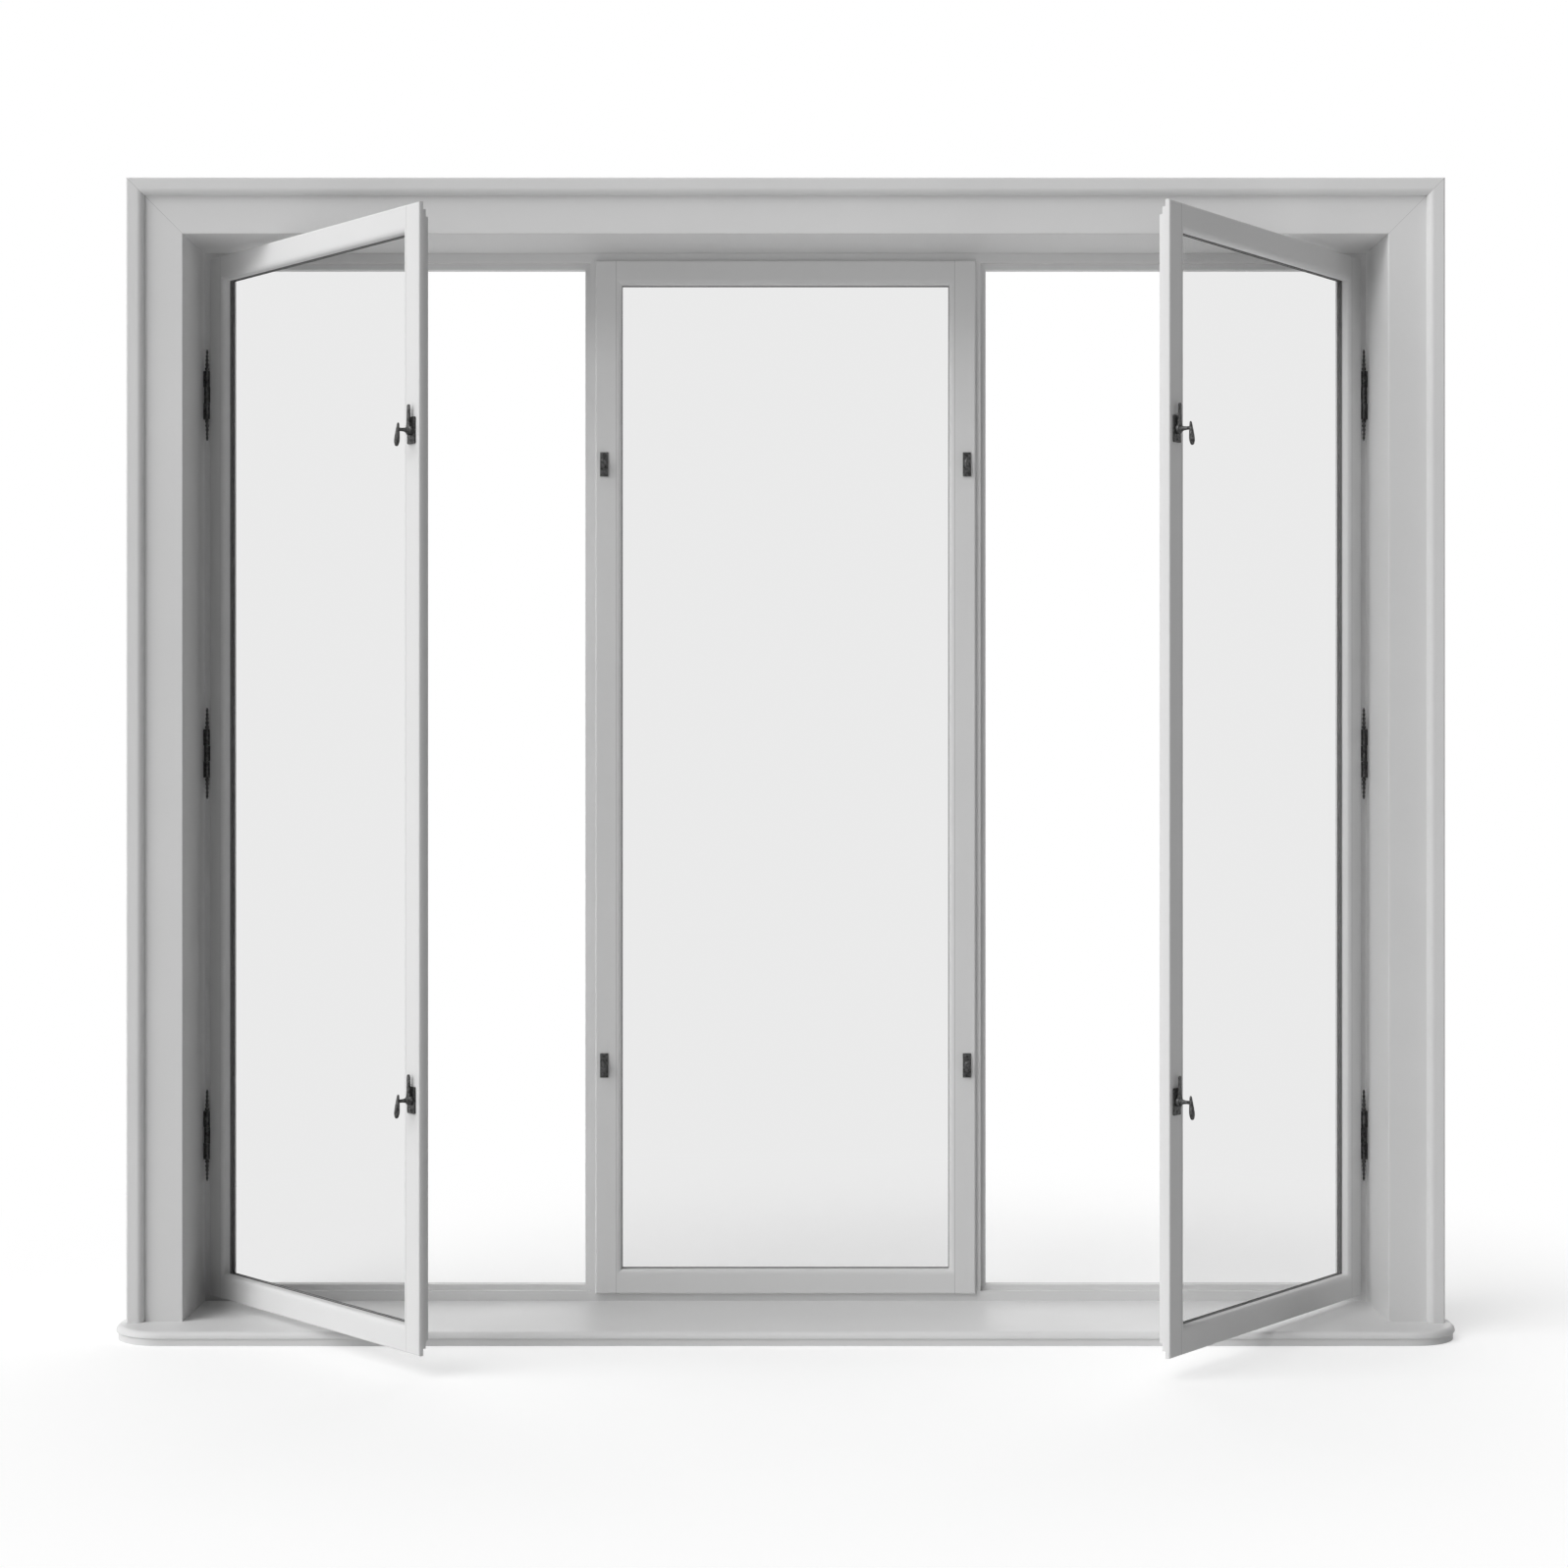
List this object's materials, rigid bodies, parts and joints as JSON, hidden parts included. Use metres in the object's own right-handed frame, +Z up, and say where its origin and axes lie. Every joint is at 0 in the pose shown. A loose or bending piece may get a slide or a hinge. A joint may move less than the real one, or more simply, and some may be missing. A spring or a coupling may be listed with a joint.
{
  "type": "casement window",
  "caption": "Inward-opening casement window in a cased opening: hinged sashes with cockspur handles beside a fixed light, plain reveal linings, mitred casing and a round-horned board.",
  "frame": {"origin": "mid-width of the window board's underside, on the wall plane that the casing lies against", "axes": "+X along the wall to the right seen from the room, +Y towards the open air, +Z up"},
  "size_m": [2.134, 0.554, 1.849],
  "materials": {
    "trim_white": "satin white",
    "board_white": "satin white",
    "frame_white": "smooth white",
    "clear_glass": "clear",
    "black_iron": "black, forged"
  },
  "bodies": {
    "window": {"backband_head": "trim_white", "backband_left": "trim_white", "backband_right": "trim_white", "casing_head": "trim_white", "casing_left": "trim_white", "casing_right": "trim_white", "fixed_bottom_rail": "frame_white", "fixed_glass": "clear_glass", "fixed_stile_left": "frame_white", "fixed_stile_right": "frame_white", "fixed_top_rail": "frame_white", "frame_bottom_rail": "frame_white", "frame_head": "frame_white", "frame_jamb_left": "frame_white", "frame_jamb_right": "frame_white", "head_lining": "trim_white", "jamb_lining_left": "trim_white", "jamb_lining_right": "trim_white", "left_frame_hinges": "black_iron", "left_keepers": "black_iron", "mullion_left": "frame_white", "mullion_right": "frame_white", "right_frame_hinges": "black_iron", "right_keepers": "black_iron", "window_board": "board_white"},
    "left_casement": {"left_hinge_stile": "frame_white", "left_lock_stile": "frame_white", "left_top_rail": "frame_white", "left_bottom_rail": "frame_white", "left_glass": "clear_glass", "left_sash_hinges": "black_iron", "left_handle_plates": "black_iron"},
    "right_casement": {"right_hinge_stile": "frame_white", "right_lock_stile": "frame_white", "right_top_rail": "frame_white", "right_bottom_rail": "frame_white", "right_glass": "clear_glass", "right_sash_hinges": "black_iron", "right_handle_plates": "black_iron"},
    "left_lower_handle": {"left_lower_handle": "black_iron"},
    "left_upper_handle": {"left_upper_handle": "black_iron"},
    "right_lower_handle": {"right_lower_handle": "black_iron"},
    "right_upper_handle": {"right_upper_handle": "black_iron"}
  },
  "joints": [
    {"name": "left_casement_swing", "type": "hinge", "parent": "window", "child": "left_casement", "pos_m": [-0.95725, 0.1405, 0.892], "axis": [0, 0, -1], "range_deg": [-49.6, 40.4]},
    {"name": "right_casement_swing", "type": "hinge", "parent": "window", "child": "right_casement", "pos_m": [0.95725, 0.1405, 0.892], "axis": [0, 0, 1], "range_deg": [-52.3, 37.7]},
    {"name": "left_lower_handle_turn", "type": "hinge", "parent": "left_casement", "child": "left_lower_handle", "pos_m": [-0.55568, -0.3298, 0.414], "axis": [-0.7615, -0.6481, 0], "range_deg": [-90, 0]},
    {"name": "left_upper_handle_turn", "type": "hinge", "parent": "left_casement", "child": "left_upper_handle", "pos_m": [-0.55568, -0.3298, 1.41], "axis": [-0.7615, -0.6481, 0], "range_deg": [-90, 0]},
    {"name": "right_lower_handle_turn", "type": "hinge", "parent": "right_casement", "child": "right_lower_handle", "pos_m": [0.57828, -0.34819, 0.414], "axis": [-0.7912, 0.6115, 0], "range_deg": [-90, 0]},
    {"name": "right_upper_handle_turn", "type": "hinge", "parent": "right_casement", "child": "right_upper_handle", "pos_m": [0.57828, -0.34819, 1.41], "axis": [-0.7912, 0.6115, 0], "range_deg": [-90, 0]}
  ]
}
